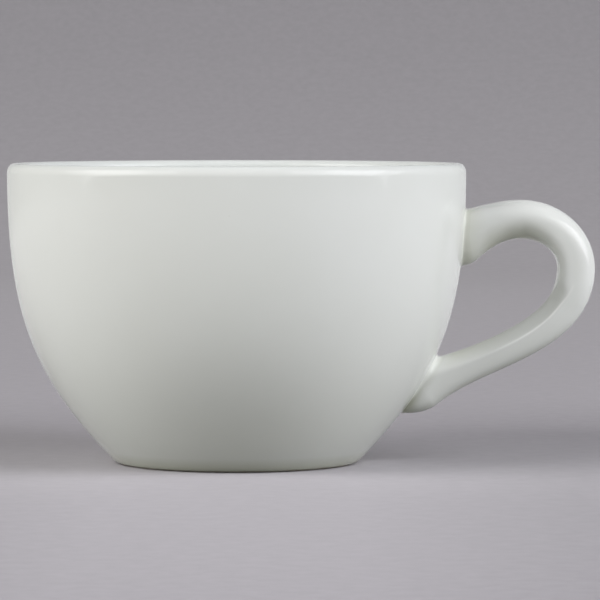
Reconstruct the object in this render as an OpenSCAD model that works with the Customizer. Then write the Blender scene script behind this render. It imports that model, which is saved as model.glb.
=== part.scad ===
// Cappuccino cup: a wide round bowl on a low foot ring, with a looped handle
// stuck to its side with slip, and glaze over all of it but the foot ring.
// Millimetres. The origin is on the bowl's axis at the table. +Z is up and the
// handle points towards +X. Outside sizes are taken over the glaze.

/* [Bowl] */
// Outside diameter at the rim
rim_d = 101.6; // [94:0.1:112]
// Height from the table to the crest of the rim
cup_h = 66.3; // [62:0.1:74]
// Diameter where the rounded edge of the foot turns into the side
foot_d = 55.6; // [52:0.1:60]
// Height of that rounded edge above the table
foot_edge_h = 1; // [0.6:0.1:1.6]
// Slope of the side as it leaves the foot, in degrees from level
foot_slope = 45.7; // [42:0.1:50]
// How far the side holds that slope
foot_pull = 26.4; // [22:0.1:30]
// How far the side stays upright below the rim
rim_pull = 30; // [25:0.1:34]
// Thickness of the rounded lip
lip_t = 2.9; // [2.4:0.1:3.8]
// Thickness of the side just above the foot
side_t = 4.4; // [3.4:0.1:5.2]
// Thickness of the floor
floor_t = 4.2; // [3.2:0.1:6]
// Height of the rounded corner inside, from the floor to the side
corner_h = 9; // [5:0.1:14]

/* [Foot ring] */
// Outside diameter of the flat ring that stands on the table
ring_d = 52; // [48:0.1:52.4]
// Width of that flat ring
ring_w = 3.2; // [2:0.1:5]
// Depth of the hollow inside the ring
hollow_h = 2.4; // [1.4:0.1:3.2]
// Diameter of the level part of the hollow
hollow_d = 41; // [34:0.1:41.6]

/* [Glaze and slip] */
// Thickness of the glaze coat
glaze_t = 0.3; // [0.2:0.05:0.5]
// Thickness of the slip between the handle and the bowl
slip_t = 0.6; // [0.4:0.05:1]

/* [Handle loop] */
// Height from the top of the handle to the crest of the rim
handle_drop = 8.1; // [6:0.1:11]
// How far the handle stands out past the rim
handle_reach = 28.6; // [25:0.1:34]
// Distance from the outermost point of the loop back to its highest point
crest_back = 12.3; // [10:0.1:15]
// Distance from the highest point of the loop down to its outermost point
bend_drop = 10.9; // [9:0.1:13]
// Height from the middle of the upper root to the crest of the rim
upper_root_drop = 16.1; // [14.5:0.1:18]
// Rise of the loop as it leaves the upper root, in degrees
upper_root_tilt = 12.7; // [8:0.1:18]
// How far the loop holds that rise
upper_root_pull = 1.8; // [1:0.1:4]
// How far the loop runs level before its highest point
crest_pull = 5.9; // [4:0.1:8]
// How far the loop runs upright below its outermost point
bend_pull = 15.3; // [12:0.1:18]
// Height of the lower root's middle above the table
lower_root_z = 16.8; // [14.5:0.1:20]
// Gap from the side to the point where the lower arm turns in to it
lower_root_out = 0.8; // [0.4:0.1:2]
// Fall of the lower arm towards the bowl, in degrees
lower_root_tilt = 29; // [24:0.1:34]
// How far the lower arm holds that fall
lower_root_pull = 14.5; // [11:0.1:18]
// Radius of the rounded underside of the lower root
toe_r = 11.5; // [9:0.1:14]

/* [Handle section] */
// Thickness of the handle at the upper root
upper_root_t = 12.9; // [10:0.1:14]
// Thickness at the highest point of the loop
crest_t = 8.6; // [7:0.1:10]
// Thickness at the outermost point of the loop
bend_t = 8.2; // [6.5:0.1:10]
// Thickness at the thinnest place of the lower arm
arm_t = 7.3; // [6:0.1:9]
// Place of the thinnest point along the lower arm, as a share of its length
arm_at = 0.65; // [0.5:0.01:0.75]
// Thickness at the lower root
lower_root_t = 10.2; // [8.5:0.1:12]
// Width of the handle across the fingers
grip_w = 11; // [9:0.1:13]
// Width of the handle at both roots
root_w = 12.6; // [10:0.1:15]
// Share of the thickness that lies inside the widest line, along the upper arm
upper_crown = 0.48; // [0.36:0.01:0.55]
// Height of the crowned inner face along the lower arm
crown_h = 2.6; // [1.6:0.1:3.2]
// Height of the crowned inner face at the lower root
toe_crown_h = 1.6; // [1:0.1:2.4]
// Place where the ridges beside that face are full, as a share of the lower arm
ridge_at = 0.25; // [0.15:0.01:0.4]

/* [Hidden] */
$fn = 96;

// Steps along each curve
side_steps = 30;
lip_steps = 8;
corner_steps = 14;
section_sides = 28;
root_rings = 6;
crest_rings = 8;
bend_rings = 10;
arm_rings = 12;
low_arm_rings = 3;
toe_rings = 5;

// How far the handle's blank runs on into the bowl before it is trimmed
root_depth = 3.5;
toe_depth = 8;
// Share of a quarter turn's radius that gives a round curve
round_share = 0.5523;
// Share of a corner's legs that gives it a round curve
corner_share = 0.62;
// Step used to find a curve's direction
small = 0.001;

rim_r = rim_d / 2;
lip_r = lip_t / 2;
lip_z = cup_h - lip_r;
floor_z = hollow_h + floor_t;
ring_in = ring_d / 2 - ring_w;

// Curves
function cubic(a, b, c, d, t) =
    a * pow(1 - t, 3) + b * 3 * t * pow(1 - t, 2) + c * 3 * t * t * (1 - t) + d * pow(t, 3);
function cubic_way(a, b, c, d, t) =
    (b - a) * 3 * pow(1 - t, 2) + (c - b) * 6 * t * (1 - t) + (d - c) * 3 * t * t;
function unit(v) = v / norm(v);
function heading(angle) = [cos(angle), sin(angle)];
function left_of(v) = [-v[1], v[0]];
function ease(t) = t * t * (3 - 2 * t);
function mix(a, b, t) = a + (b - a) * t;

// Side of the bowl in radius and height: t runs from the foot to the rim, and
// inset moves the point in through the wall
foot_end = [foot_d / 2, foot_edge_h];
foot_knee = foot_end + foot_pull * heading(foot_slope);
rim_end = [rim_r, lip_z];
rim_knee = rim_end - [0, rim_pull];
function side_point(t, inset = 0) =
    cubic(foot_end, foot_knee, rim_knee, rim_end, t)
    + inset * left_of(unit(cubic_way(foot_end, foot_knee, rim_knee, rim_end, t)));
function side_points(inset) = [for (i = [0 : side_steps]) side_point(i / side_steps, inset)];

// Wall thickness along the side, and the inside face that it gives
function wall_at(t) = mix(side_t, lip_t, ease(t));
function inner_side(t) = side_point(t, wall_at(t));
function side_t_at(z, low = 0, high = 1, tries = 24) =
    tries == 0 ? (low + high) / 2
    : side_point((low + high) / 2)[1] < z ? side_t_at(z, (low + high) / 2, high, tries - 1)
    : side_t_at(z, low, (low + high) / 2, tries - 1);
function inner_t_at(z, low = 0, high = 1, tries = 24) =
    tries == 0 ? (low + high) / 2
    : inner_side((low + high) / 2)[1] < z ? inner_t_at(z, (low + high) / 2, high, tries - 1)
    : inner_t_at(z, low, (low + high) / 2, tries - 1);
function side_r(z) = side_point(side_t_at(z))[0];

// Rounded corner between the side and the floor, inside
corner_t = inner_t_at(floor_z + corner_h);
corner_top = inner_side(corner_t);
corner_way = unit(inner_side(corner_t) - inner_side(corner_t + small));
corner_leg = (corner_top[1] - floor_z) / -corner_way[1];
corner_tip = corner_top + corner_leg * corner_way;
corner_end = corner_tip - [corner_leg, 0];

// Inside face from the lip to the axis: u runs from 0 at the lip to 1 at the
// start of the corner, to 2 at its end and to 3 at the axis
function inside_face(u) =
    u <= 1 ? inner_side(mix(1, corner_t, u))
    : u <= 2 ? cubic(corner_top, mix(corner_top, corner_tip, corner_share),
        mix(corner_end, corner_tip, corner_share), corner_end, u - 1)
    : mix(corner_end, [0, floor_z], u - 2);
function inside_point(u, depth) =
    inside_face(u) + depth * left_of(unit(inside_face(u + small) - inside_face(u - small)));
function inside_points(depth) = [
    [rim_r - lip_t + depth, lip_z],
    for (i = [1 : side_steps - 1]) inside_point(i / side_steps, depth),
    for (i = [0 : corner_steps]) inside_point(1 + i / corner_steps, depth),
    [0, floor_z - depth]
];

// Rounded lip, from one angle to another
function lip_arc(from, to, depth) = [
    for (i = [0 : lip_steps])
        [rim_r - lip_r, lip_z] + (lip_r - depth) * heading(mix(from, to, i / lip_steps))
];
function inner_points(list) = [for (i = [1 : len(list) - 2]) list[i]];
function backwards(list) = [for (i = [len(list) - 1 : -1 : 0]) list[i]];

// Foot ring: rounded outer edge, flat ring, sloping inner side and level hollow
ring_edge = [ring_d / 2, 0];
ring_side = side_point(0, glaze_t);
ring_knee = [ring_side[0] - ring_side[1] / tan(foot_slope), 0];
function hollow_r(z) = mix(ring_in, hollow_d / 2, z / hollow_h);
hollow_top = hollow_h + glaze_t;
function ring_points() = [
    [0, hollow_top],
    [hollow_r(hollow_top), hollow_top],
    [ring_in, 0],
    for (i = [0 : lip_steps])
        let (t = i / lip_steps)
            ring_edge * pow(1 - t, 2) + ring_knee * 2 * t * (1 - t) + ring_side * t * t
];

// Handle loop in radius and height: the centre line is curve 0 from the upper
// root to the highest point, curve 1 on to the outermost point, curve 2 down to
// the lower root, and then the turn of the toe
upper_root = [side_r(cup_h - upper_root_drop), cup_h - upper_root_drop];
bend = [
    rim_r + handle_reach - bend_t / 2,
    cup_h - handle_drop - crest_t / 2 - bend_drop
];
crest = bend + [-crest_back, bend_drop];
lower_root = [side_r(lower_root_z) + lower_root_out, lower_root_z];
loop_curves = [
    [upper_root, upper_root + upper_root_pull * heading(upper_root_tilt), crest - [crest_pull, 0], crest],
    [crest, crest + [round_share * crest_back, 0], bend + [0, round_share * bend_drop], bend],
    [bend, bend - [0, bend_pull], lower_root + lower_root_pull * heading(lower_root_tilt), lower_root]
];
function loop_point(k, t) =
    let (c = loop_curves[k])
    cubic(c[0], c[1], c[2], c[3], t);
function loop_way(k, t) =
    let (c = loop_curves[k])
    unit(cubic_way(c[0], c[1], c[2], c[3], t));

// Thickness, width, share of the ridge and crown along the loop
function loop_t(k, t) =
    k == 0 ? mix(upper_root_t, crest_t, 1 - pow(1 - t, 2))
    : k == 1 ? mix(crest_t, bend_t, ease(t))
    : t < arm_at ? mix(bend_t, arm_t, ease(t / arm_at))
    : mix(arm_t, lower_root_t, pow((t - arm_at) / (1 - arm_at), 2));
function loop_w(k, t) =
    k == 0 ? mix(root_w, grip_w, ease(t))
    : k == 1 ? grip_w
    : mix(grip_w, root_w, pow(t, 3));
function ridge_share(k, t) = k < 2 ? 0 : ease(min(1, t / ridge_at));
function loop_crown(k, t) =
    k < 2 ? upper_crown * loop_t(k, t)
    : mix(mix(upper_crown * bend_t, crown_h, ridge_share(k, t)), toe_crown_h, pow(t, 4));

// Stations: centre, direction of travel, thickness, width, crown and ridge
function station(k, t) = [
    loop_point(k, t), loop_way(k, t), loop_t(k, t),
    loop_w(k, t), loop_crown(k, t), ridge_share(k, t)
];
toe_turn_r = toe_r - lower_root_t / 2;
toe_hub = lower_root - toe_turn_r * left_of(loop_way(2, 1));
function toe_station(angle) = [
    toe_hub + toe_turn_r * heading(angle - 90),
    heading(180 + angle), lower_root_t, root_w, toe_crown_h, 1
];
function moved(s, d) = [s[0] + d * s[1], s[1], s[2], s[3], s[4], s[5]];
upper_stations = [
    moved(station(0, 0), -root_depth),
    for (i = [0 : root_rings]) station(0, i / (root_rings + crest_rings))
];
middle_stations = [
    for (i = [root_rings + 1 : root_rings + crest_rings]) station(0, i / (root_rings + crest_rings)),
    for (i = [1 : bend_rings]) station(1, i / bend_rings),
    for (i = [1 : arm_rings - low_arm_rings]) station(2, i / arm_rings)
];
lower_stations = [
    for (i = [arm_rings - low_arm_rings + 1 : arm_rings]) station(2, i / arm_rings),
    for (i = [toe_rings - 1 : -1 : 0]) toe_station(lower_root_tilt * i / toe_rings),
    moved(toe_station(0), toe_depth)
];
all_stations = concat(upper_stations, middle_stations, lower_stations);

// Section at a station: half an ellipse outside, and inside another half that
// flattens to a low crown with a ridge on each side
function section_point(s, angle, skin) =
    let (
        rise = sin(angle),
        outer = s[2] - s[4],
        reach = rise > 0 ? (outer - skin) * rise : -(s[4] - skin) * pow(-rise, 1 + s[5]),
        at = s[0] + (s[4] - s[2] / 2 + reach) * left_of(s[1])
    )
    [at[0], (s[3] / 2 - skin) * cos(angle), at[1]];
function rings(list, skin) = [
    for (s = list) for (j = [0 : section_sides - 1]) section_point(s, 360 * j / section_sides, skin)
];

// Faces of the skin between ring rows, with first the index of the first point
function skin_faces(count, first, inward) = [
    for (i = [0 : count - 2]) for (j = [0 : section_sides - 1])
        let (
            a = first + i * section_sides + j,
            b = first + i * section_sides + (j + 1) % section_sides,
            c = b + section_sides,
            d = a + section_sides
        )
        each inward ? [[a, b, c], [a, c, d]] : [[a, c, b], [a, d, c]]
];
function cap(first, turned) =
    [for (j = [0 : section_sides - 1]) first + (turned ? section_sides - 1 - j : j)];
function rim_faces(outer, inner, turned) = [
    for (j = [0 : section_sides - 1])
        let (k = (j + 1) % section_sides)
        each turned
            ? [[outer + j, outer + k, inner + k], [outer + j, inner + k, inner + j]]
            : [[outer + j, inner + k, outer + k], [outer + j, inner + j, inner + k]]
];

// Solid bar along some of the stations
module loop_bar(list, skin) {
    last = (len(list) - 1) * section_sides;
    polyhedron(
        points = rings(list, skin),
        faces = concat(skin_faces(len(list), 0, false), [cap(0, false), cap(last, true)]),
        convexity = 6
    );
}

// Thin sleeve along some of the stations
module loop_sleeve(list, thickness) {
    size = len(list) * section_sides;
    last = size - section_sides;
    polyhedron(
        points = concat(rings(list, 0), rings(list, thickness)),
        faces = concat(
            skin_faces(len(list), 0, false),
            skin_faces(len(list), size, true),
            rim_faces(0, size, true),
            rim_faces(last, size + last, false)
        ),
        convexity = 8
    );
}

// Filled bowl, raised past the bare clay by a slip layer
module bowl_blank(raise) {
    side = side_points(glaze_t - raise);
    rotate_extrude() polygon(concat([[0, side[0][1]]], side, [[0, side[side_steps][1]]]));
}

// Layer of slip all round the bare side
module slip_layer() {
    rotate_extrude() polygon(concat(side_points(glaze_t), backwards(side_points(glaze_t - slip_t))));
}

module bowl() {
    color("#e9e7e0")
        rotate_extrude() polygon(concat(
            ring_points(),
            inner_points(side_points(glaze_t)),
            lip_arc(0, 180, glaze_t),
            inner_points(inside_points(glaze_t)),
            [[0, floor_z - glaze_t]]
        ));
}

module handle() {
    color("#e7e5de") difference() {
        loop_bar(all_stations, glaze_t);
        bowl_blank(slip_t);
    }
}

module upper_slip_joint() {
    color("#dcd9cf") intersection() {
        loop_bar(upper_stations, glaze_t);
        slip_layer();
    }
}

module lower_slip_joint() {
    color("#dcd9cf") intersection() {
        loop_bar(lower_stations, glaze_t);
        slip_layer();
    }
}

module outer_glaze() {
    color("#eceee9") difference() {
        rotate_extrude() polygon(concat(
            side_points(0),
            inner_points(lip_arc(0, 90, 0)),
            [[rim_r - lip_r, cup_h]],
            backwards(lip_arc(0, 90, glaze_t)),
            inner_points(backwards(side_points(glaze_t))),
            [ring_side]
        ));
        loop_bar(upper_stations, 0);
        loop_bar(lower_stations, 0);
    }
}

module liner_glaze() {
    color("#eff1ec")
        rotate_extrude() polygon(concat(
            lip_arc(90, 180, 0),
            inner_points(inside_points(0)),
            [[0, floor_z], [0, floor_z - glaze_t]],
            backwards(inner_points(inside_points(glaze_t))),
            backwards(lip_arc(90, 180, glaze_t))
        ));
}

module base_glaze() {
    color("#eceee9")
        rotate_extrude() polygon([
            [0, hollow_h], [hollow_r(hollow_h), hollow_h],
            [hollow_r(hollow_top), hollow_top], [0, hollow_top]
        ]);
}

module handle_glaze() {
    color("#eceee9") difference() {
        loop_sleeve(all_stations, glaze_t);
        bowl_blank(0);
    }
}

bowl();
handle();
upper_slip_joint();
lower_slip_joint();
outer_glaze();
liner_glaze();
base_glaze();
handle_glaze();
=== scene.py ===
"""Cappuccino cup of glazed china: a wide bowl on a foot ring, with a looped handle.

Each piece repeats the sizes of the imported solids, in metres and in the same frame.
The bowl and its coats are turned round the Z axis from a section. The handle is
swept along its loop and flows into the bowl with a fillet at each root.
"""

import math

import bmesh
import bpy
import numpy as np
from bpy.props import FloatProperty, FloatVectorProperty, IntProperty, PointerProperty
from mathutils import Euler, Matrix, Vector


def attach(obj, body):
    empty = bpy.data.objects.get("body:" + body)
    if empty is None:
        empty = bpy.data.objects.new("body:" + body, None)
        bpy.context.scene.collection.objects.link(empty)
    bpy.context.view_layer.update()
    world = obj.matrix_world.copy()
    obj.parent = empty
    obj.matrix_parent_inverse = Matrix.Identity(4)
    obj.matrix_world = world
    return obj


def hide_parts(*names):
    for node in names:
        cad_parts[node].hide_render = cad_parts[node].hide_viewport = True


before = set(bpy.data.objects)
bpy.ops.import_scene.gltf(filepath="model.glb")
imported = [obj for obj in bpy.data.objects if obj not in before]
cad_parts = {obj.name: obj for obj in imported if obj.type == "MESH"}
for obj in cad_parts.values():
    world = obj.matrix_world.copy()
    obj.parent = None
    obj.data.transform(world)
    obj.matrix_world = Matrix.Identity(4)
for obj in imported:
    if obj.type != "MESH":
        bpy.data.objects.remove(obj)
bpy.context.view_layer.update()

bl_info = {
    "name": "Cappuccino cup",
    "version": (1, 0, 0),
    "blender": (4, 5, 0),
    "location": "View3D > Sidebar > Cup",
    "description": "Glazed china cup with a looped handle, on a studio sweep",
    "category": "Add Mesh",
}

MM = 0.001

# Points round the handle's section; its ridges are point 0 and point RIDGE
AROUND = 128
RIDGE = 76
# Finer points for each of those, while a section is softened
FINE = 4
# Power of a round section; a higher one is squarer
ROUND = 2
# Edges that turn by more than this are shaded sharp
SHARP_TURN = math.radians(40)
# Points of the side's curve in which heights are looked up
SIDE_SAMPLES = 2000


def linear(hex_colour):
    """Linear colour of an sRGB hex value."""
    text = hex_colour.lstrip("#")
    parts = [int(text[i:i + 2], 16) / 255 for i in (0, 2, 4)]
    return tuple(c / 12.92 if c <= 0.04045 else ((c + 0.055) / 1.055) ** 2.4 for c in parts)


def length(name, size_mm, text):
    """A length property, with its default in millimetres."""
    return FloatProperty(name=name, description=text, default=size_mm * MM, precision=5, unit="LENGTH")


def angle(name, degrees, text):
    """An angle property, with its default in degrees."""
    return FloatProperty(name=name, description=text, default=math.radians(degrees), subtype="ANGLE")


def number(name, value, text):
    """A property without a unit."""
    return FloatProperty(name=name, description=text, default=value)


def power(name, watts, text):
    """A lamp's power property, with its default in watts."""
    return FloatProperty(name=name, description=text, default=watts, unit="POWER")


def colour(name, hex_colour, text):
    """A colour property, with its default as an sRGB hex value."""
    tint = linear(hex_colour)
    return FloatVectorProperty(name=name, description=text, default=tint, subtype="COLOR", size=3)


class CupBowlSizes(bpy.types.PropertyGroup):
    """Sizes of the bowl, its foot ring and its coats."""

    rim_d: length("Rim", 101.6, "Outside diameter at the rim")
    cup_h: length("Height", 66.3, "Height from the table to the crest of the rim")
    foot_d: length("Foot", 55.6, "Diameter where the rounded foot edge turns into the side")
    foot_edge_h: length("Foot edge", 1.0, "Height of the rounded foot edge above the table")
    coat_end_h: length("Coat end", 0.45, "Height above the table where the outside coat ends")
    foot_slope: angle("Foot slope", 45.7, "Slope of the side as it leaves the foot")
    foot_pull: length("Foot pull", 26.4, "How far the side holds the foot's slope")
    rim_pull: length("Rim pull", 30.0, "How far the side stays upright below the rim")
    lip_t: length("Lip", 2.9, "Thickness of the rounded lip")
    lip_h: length("Lip height", 2.2, "Height of the lip's rounding outside")
    side_t: length("Side", 4.4, "Thickness of the side just above the foot")
    floor_t: length("Floor", 4.2, "Thickness of the floor")
    corner_h: length("Inside corner", 9.0, "Height of the rounded corner inside")
    ring_d: length("Ring", 52.0, "Outside diameter of the flat ring that stands on the table")
    ring_w: length("Ring width", 3.2, "Width of the flat ring")
    hollow_h: length("Hollow", 2.4, "Depth of the hollow inside the ring")
    hollow_d: length("Hollow width", 41.0, "Diameter of the level part of the hollow")
    glaze_t: length("Glaze", 0.3, "Thickness of the glaze coat")
    slip_t: length("Slip", 0.6, "Thickness of the slip under the handle")
    steps_round: IntProperty(name="Steps round", description="Facets round the axis", default=256, min=24)


class CupHandleSizes(bpy.types.PropertyGroup):
    """Sizes of the handle's loop, section and roots."""

    drop: length("Drop", 8.1, "Height from the top of the handle to the crest of the rim")
    reach: length("Reach", 28.6, "How far the handle stands out past the rim")
    crest_back: length("Crest back", 12.3, "From the outermost point back to the highest point")
    bend_drop: length("Bend drop", 10.9, "From the highest point down to the outermost point")
    upper_root_drop: length("Upper root", 16.1, "From the middle of the upper root to the crest of the rim")
    upper_root_tilt: angle("Upper tilt", 12.7, "Rise of the loop as it leaves the upper root")
    upper_root_pull: length("Upper pull", 1.8, "How far the loop holds that rise")
    crest_pull: length("Crest pull", 5.9, "How far the loop runs level before its highest point")
    bend_pull: length("Bend pull", 15.3, "How far the loop runs upright below its outermost point")
    lower_root_z: length("Lower root", 16.8, "Height of the lower root's middle above the table")
    lower_root_out: length("Lower root gap", 0.8, "From the side to the point where the arm turns in")
    lower_root_tilt: angle("Lower tilt", 29.0, "Fall of the lower arm towards the bowl")
    lower_root_pull: length("Lower pull", 14.5, "How far the lower arm holds that fall")
    toe_r: length("Toe", 11.5, "Radius of the rounded underside of the lower root")
    upper_root_t: length("Upper root thickness", 12.9, "Thickness at the upper root")
    crest_t: length("Crest thickness", 8.6, "Thickness at the highest point")
    bend_t: length("Bend thickness", 8.2, "Thickness at the outermost point")
    arm_t: length("Arm thickness", 7.3, "Thickness at the thinnest place of the lower arm")
    arm_at: number("Thinnest place", 0.65, "Share of the lower arm's length")
    lower_root_t: length("Lower root thickness", 10.2, "Thickness at the lower root")
    grip_w: length("Grip width", 11.0, "Width across the fingers")
    root_w: length("Root width", 12.6, "Width at both roots")
    upper_crown: number("Upper crown", 0.55, "Share of the thickness inside the widest line")
    crown_h: length("Crown", 2.6, "Height of the crowned inner face along the lower arm")
    toe_crown_h: length("Toe crown", 3.4, "Height of the crowned inner face at the lower root")
    ridge_lead: number("Ridge lead", 0.5, "Share of the low crown at the outermost point")
    ridge_from: number("Ridge start", 0.07, "Share of the lower arm where the ridges start")
    ridge_at: number("Ridge place", 0.25, "Share of the lower arm where the ridges are full")
    ridge_to: number("Ridge end", 0.6, "Share of the lower arm where the ridges start to fade")
    ridge_soft: length("Ridge softness", 0.3, "How far the glaze rounds off the ridges")
    roof: number("Roof", 1.65, "Bow of the inner face between the ridges: 1 for flat slopes, 2 for round")
    square: number("Squareness", 3.4, "How square the outside of the lower arm is, from 2 for round")
    root_square: number("Root squareness", 3.7, "How square the outside is at the lower root")
    bend_square: number("Bend squareness", 2.7, "How square the outside is at the outermost point")
    bend_inside: number("Bend, inside", 4.2, "How square the inner face is at the outermost point")
    upper_square: number("Upper squareness", 3.2, "How square the outside is at the upper root")
    taper: number("Taper", 0.16, "Share of its width that the lower arm loses towards its outside")
    root_taper: number("Root taper", 0.048, "Share of its width lost towards the outside at the lower root")
    upper_fillet_top: length("Upper fillet, top", 0.7, "Leg of the fillet over the upper root")
    upper_fillet_under: length("Upper fillet, under", 0.6, "Leg of the fillet under the upper root")
    lower_fillet_top: length("Lower fillet, top", 2.4, "Leg of the fillet in the loop's lower corner")
    lower_fillet_under: length("Lower fillet, under", 0.35, "Leg of the fillet under the toe")
    toe_pinch: number("Toe pinch", 0.25, "Share of its width that the toe loses under its root")
    toe_pinch_reach: length("Toe pinch reach", 3.2, "How far from the bowl the toe starts to narrow")


class CupFinish(bpy.types.PropertyGroup):
    """Colours of the cup."""

    glaze: colour("Glaze", "#E4E5E1", "China seen through its glaze")
    # Painted shade: the inside is the same glaze as outside, given a darker, greyer tone so that the bowl's
    # inside looks shaded
    glaze_inside_shade: colour("Glaze, inside", "#D9DBD8", "Glaze of the inside, from a dip of its own")
    # Painted shade: a darker, slightly cooler glaze tone laid on the up-facing crest of the lip
    glaze_lip_shade: colour("Glaze, lip", "#D8DAD7", "Glaze over the crest of the lip")
    # Painted highlight: a near-white glaze tone along the handle's ridges, where the lamps glint on them
    glaze_ridge_highlight: colour("Thin glaze", "#FCFCF8", "Glaze where it runs thin over a ridge")
    # Painted shade: a darker olive glaze tone laid near the foot and on the handle's inner face and roots;
    # at the roots it also stands for pooled glaze, and a faint random drift uses it too
    glaze_shade_and_pool: colour("Pooled glaze", "#CDCEC1", "Glaze where it gathers or is laid on thick")
    speck: colour("Speck", "#9A927F", "Iron speck in the glaze")
    clay: colour("Bare clay", "#DCD7CB", "Fired clay of the foot ring")
    clay_stain: colour("Rubbed clay", "#C3BCAC", "Clay rubbed by tables and trays")
    slip: colour("Slip", "#D2CCBE", "Fired slip under the handle")


class CupStage(bpy.types.PropertyGroup):
    """Tones of the paper sweep and the room, and power of the lamps."""

    paper: colour("Sweep", "#BAB6BA", "Paper under the cup")
    # Painted light falloff: the paper's tones grade from a darker front to a paler curve at the back
    paper_front: colour("Sweep, front", "#ABA7AB", "Paper nearest to the camera")
    # Painted shadow of the cup on the paper just behind it
    paper_shadow_dip: colour("Sweep, dip", "#A5A1A5", "Paper just behind the cup")
    paper_behind: colour("Sweep, behind", "#ABA7AB", "Paper a little further behind the cup")
    paper_back: colour("Sweep, back", "#C0BCC0", "Paper where it starts to curve up")
    paper_top: colour("Sweep, top", "#B5B1B5", "Paper of the upright back")
    # Painted reflection: glossy rays see the far paper paler than it is
    paper_mirror: colour("Sweep, mirrored", "#F0F0F0", "Far paper as the glaze mirrors it")
    bounce: colour("Bounce", "#858580", "Light that the paper throws back at the cup")
    left_lamp: power("Left lamp", 15.6, "Power of the lamp on the left")
    right_lamp: power("Right lamp", 16.25, "Power of the lamp on the right")
    back_lamp: power("Back lamps", 1.8, "Power of each lamp behind")
    room: number("Room", 0.05, "Strength of the light from the room")
    room_tone: colour("Room tone", "#939093", "Room seen past the sweep")


# Curves and directions

def cubic(curve, t):
    """Points of a cubic curve with four knees."""
    a, b, c, d = np.asarray(curve, float)
    t = np.asarray(t, float)[:, None]
    return a * (1 - t) ** 3 + 3 * b * t * (1 - t) ** 2 + 3 * c * t * t * (1 - t) + d * t ** 3


def cubic_way(curve, t):
    """Unit directions along a cubic curve."""
    a, b, c, d = np.asarray(curve, float)
    t = np.asarray(t, float)[:, None]
    return unit((b - a) * (1 - t) ** 2 + 2 * (c - b) * t * (1 - t) + (d - c) * t * t)


def rounded(a, knee, c, t):
    """Points of a curve from a to c that heads for one knee from both ends."""
    return a * (1 - t) ** 2 + 2 * knee * t * (1 - t) + c * t * t


def unit(v):
    """Vectors brought to a length of 1."""
    return v / np.linalg.norm(v, axis=-1, keepdims=True)


def heading(turn):
    """Unit vectors at angles in a plane."""
    return np.stack([np.cos(turn), np.sin(turn)], -1)


def left_of(v):
    """Vectors in a plane turned left by a right angle."""
    return np.stack([-v[..., 1], v[..., 0]], -1)


def ease(t):
    """Smooth step from 0 to 1."""
    return t * t * (3 - 2 * t)


def mix(a, b, t):
    """Value a share of the way from a to b."""
    return a + (b - a) * t


# Section of the bowl, in radius and height

def side_curve(b):
    """Knees of the side, from the foot edge to the lip."""
    foot = np.array([b.foot_d / 2, b.foot_edge_h])
    rim = np.array([b.rim_d / 2, b.cup_h - b.lip_t / 2])
    return [foot, foot + b.foot_pull * heading(b.foot_slope), rim - (0, b.rim_pull), rim]


def side_points(b, t, inset):
    """Points of the side, moved in through the wall by inset."""
    curve = side_curve(b)
    return cubic(curve, t) + np.asarray(inset)[..., None] * left_of(cubic_way(curve, t))


def side_radius(b):
    """Function that gives the side's outside radius at a height."""
    points = side_points(b, np.linspace(0, 1, SIDE_SAMPLES), 0)
    return lambda z: np.interp(z, points[:, 1], points[:, 0])


def side_at(b, z):
    """Share of the side's curve at a height; it runs on past the foot edge, below 0."""
    t = np.linspace(-0.02, 1, SIDE_SAMPLES)
    return np.interp(z, side_points(b, t, 0)[:, 1], t)


def lip_points(b, start, stop, depth, steps):
    """Points of the rounded lip between two angles; its rounding is taller outside than inside."""
    r = b.lip_t / 2
    turn = heading(np.radians(np.linspace(start, stop, steps)))
    tall = np.where(turn[:, 0] > 1e-9, b.lip_h, r)
    out = b.rim_d / 2 - r + (r - depth) * turn[:, 0]
    return np.column_stack([out, b.cup_h - tall + (tall - depth) * turn[:, 1]])


def inside_points(b, depth, side_steps, corner_steps):
    """Points of the inside face from the lip to the axis, moved into the wall by depth."""
    floor_z = b.hollow_h + b.floor_t
    fine = np.linspace(0, 1, 4000)
    wall = mix(b.side_t, b.lip_t, ease(fine))
    corner_t = np.interp(floor_z + b.corner_h, side_points(b, fine, wall)[:, 1], fine)
    t = np.linspace(1, corner_t, side_steps)
    side = side_points(b, t, mix(b.side_t, b.lip_t, ease(t)))
    way = unit(side[-1] - side[-2])
    leg = (floor_z - side[-1, 1]) / way[1]
    tip = side[-1] + leg * way
    end = tip - (leg, 0)
    share = 0.62
    knees = [side[-1], mix(side[-1], tip, share), mix(end, tip, share), end]
    corner = cubic(knees, np.linspace(0, 1, corner_steps))[1:]
    floor = mix(end, np.array([0, floor_z]), np.linspace(0, 1, corner_steps)[1:, None])
    face = np.concatenate([side, corner, floor])
    ways = np.gradient(face, axis=0)
    ways[0], ways[-1] = (0, -1), (-1, 0)
    moved = face + depth * left_of(unit(ways))
    moved[-1, 0] = 0
    return moved


def hollow_radius(b, z):
    """Radius of the hollow's sloping wall at a height."""
    return mix(b.ring_d / 2 - b.ring_w, b.hollow_d / 2, z / b.hollow_h)


def clay_section(b):
    """Section of the clay body, from the axis under the floor round to the axis inside."""
    top = b.hollow_h + b.glaze_t
    ring_in = np.array([b.ring_d / 2 - b.ring_w, 0])
    ring_out = np.array([b.ring_d / 2, 0])
    side_steps = 48
    t = np.linspace(side_at(b, b.coat_end_h), side_at(b, b.cup_h - b.lip_h), side_steps)
    side = side_points(b, t, b.glaze_t)
    knee = np.array([side[0, 0] - side[0, 1] / math.tan(b.foot_slope), 0])
    slope = unit(np.array([hollow_radius(b, top) - ring_in[0], top]))
    edge = 0.35 * MM
    s = np.linspace(0, 1, 14)[:, None]
    return np.concatenate([
        [[0, top], [hollow_radius(b, top), top]],
        rounded(ring_in + edge * slope, ring_in, ring_in + (edge, 0), s),
        rounded(ring_out, knee, side[0], s),
        side[1:-1],
        lip_points(b, 0, 180, b.glaze_t, 24),
        inside_points(b, b.glaze_t, side_steps, 12)[1:],
    ])


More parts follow.
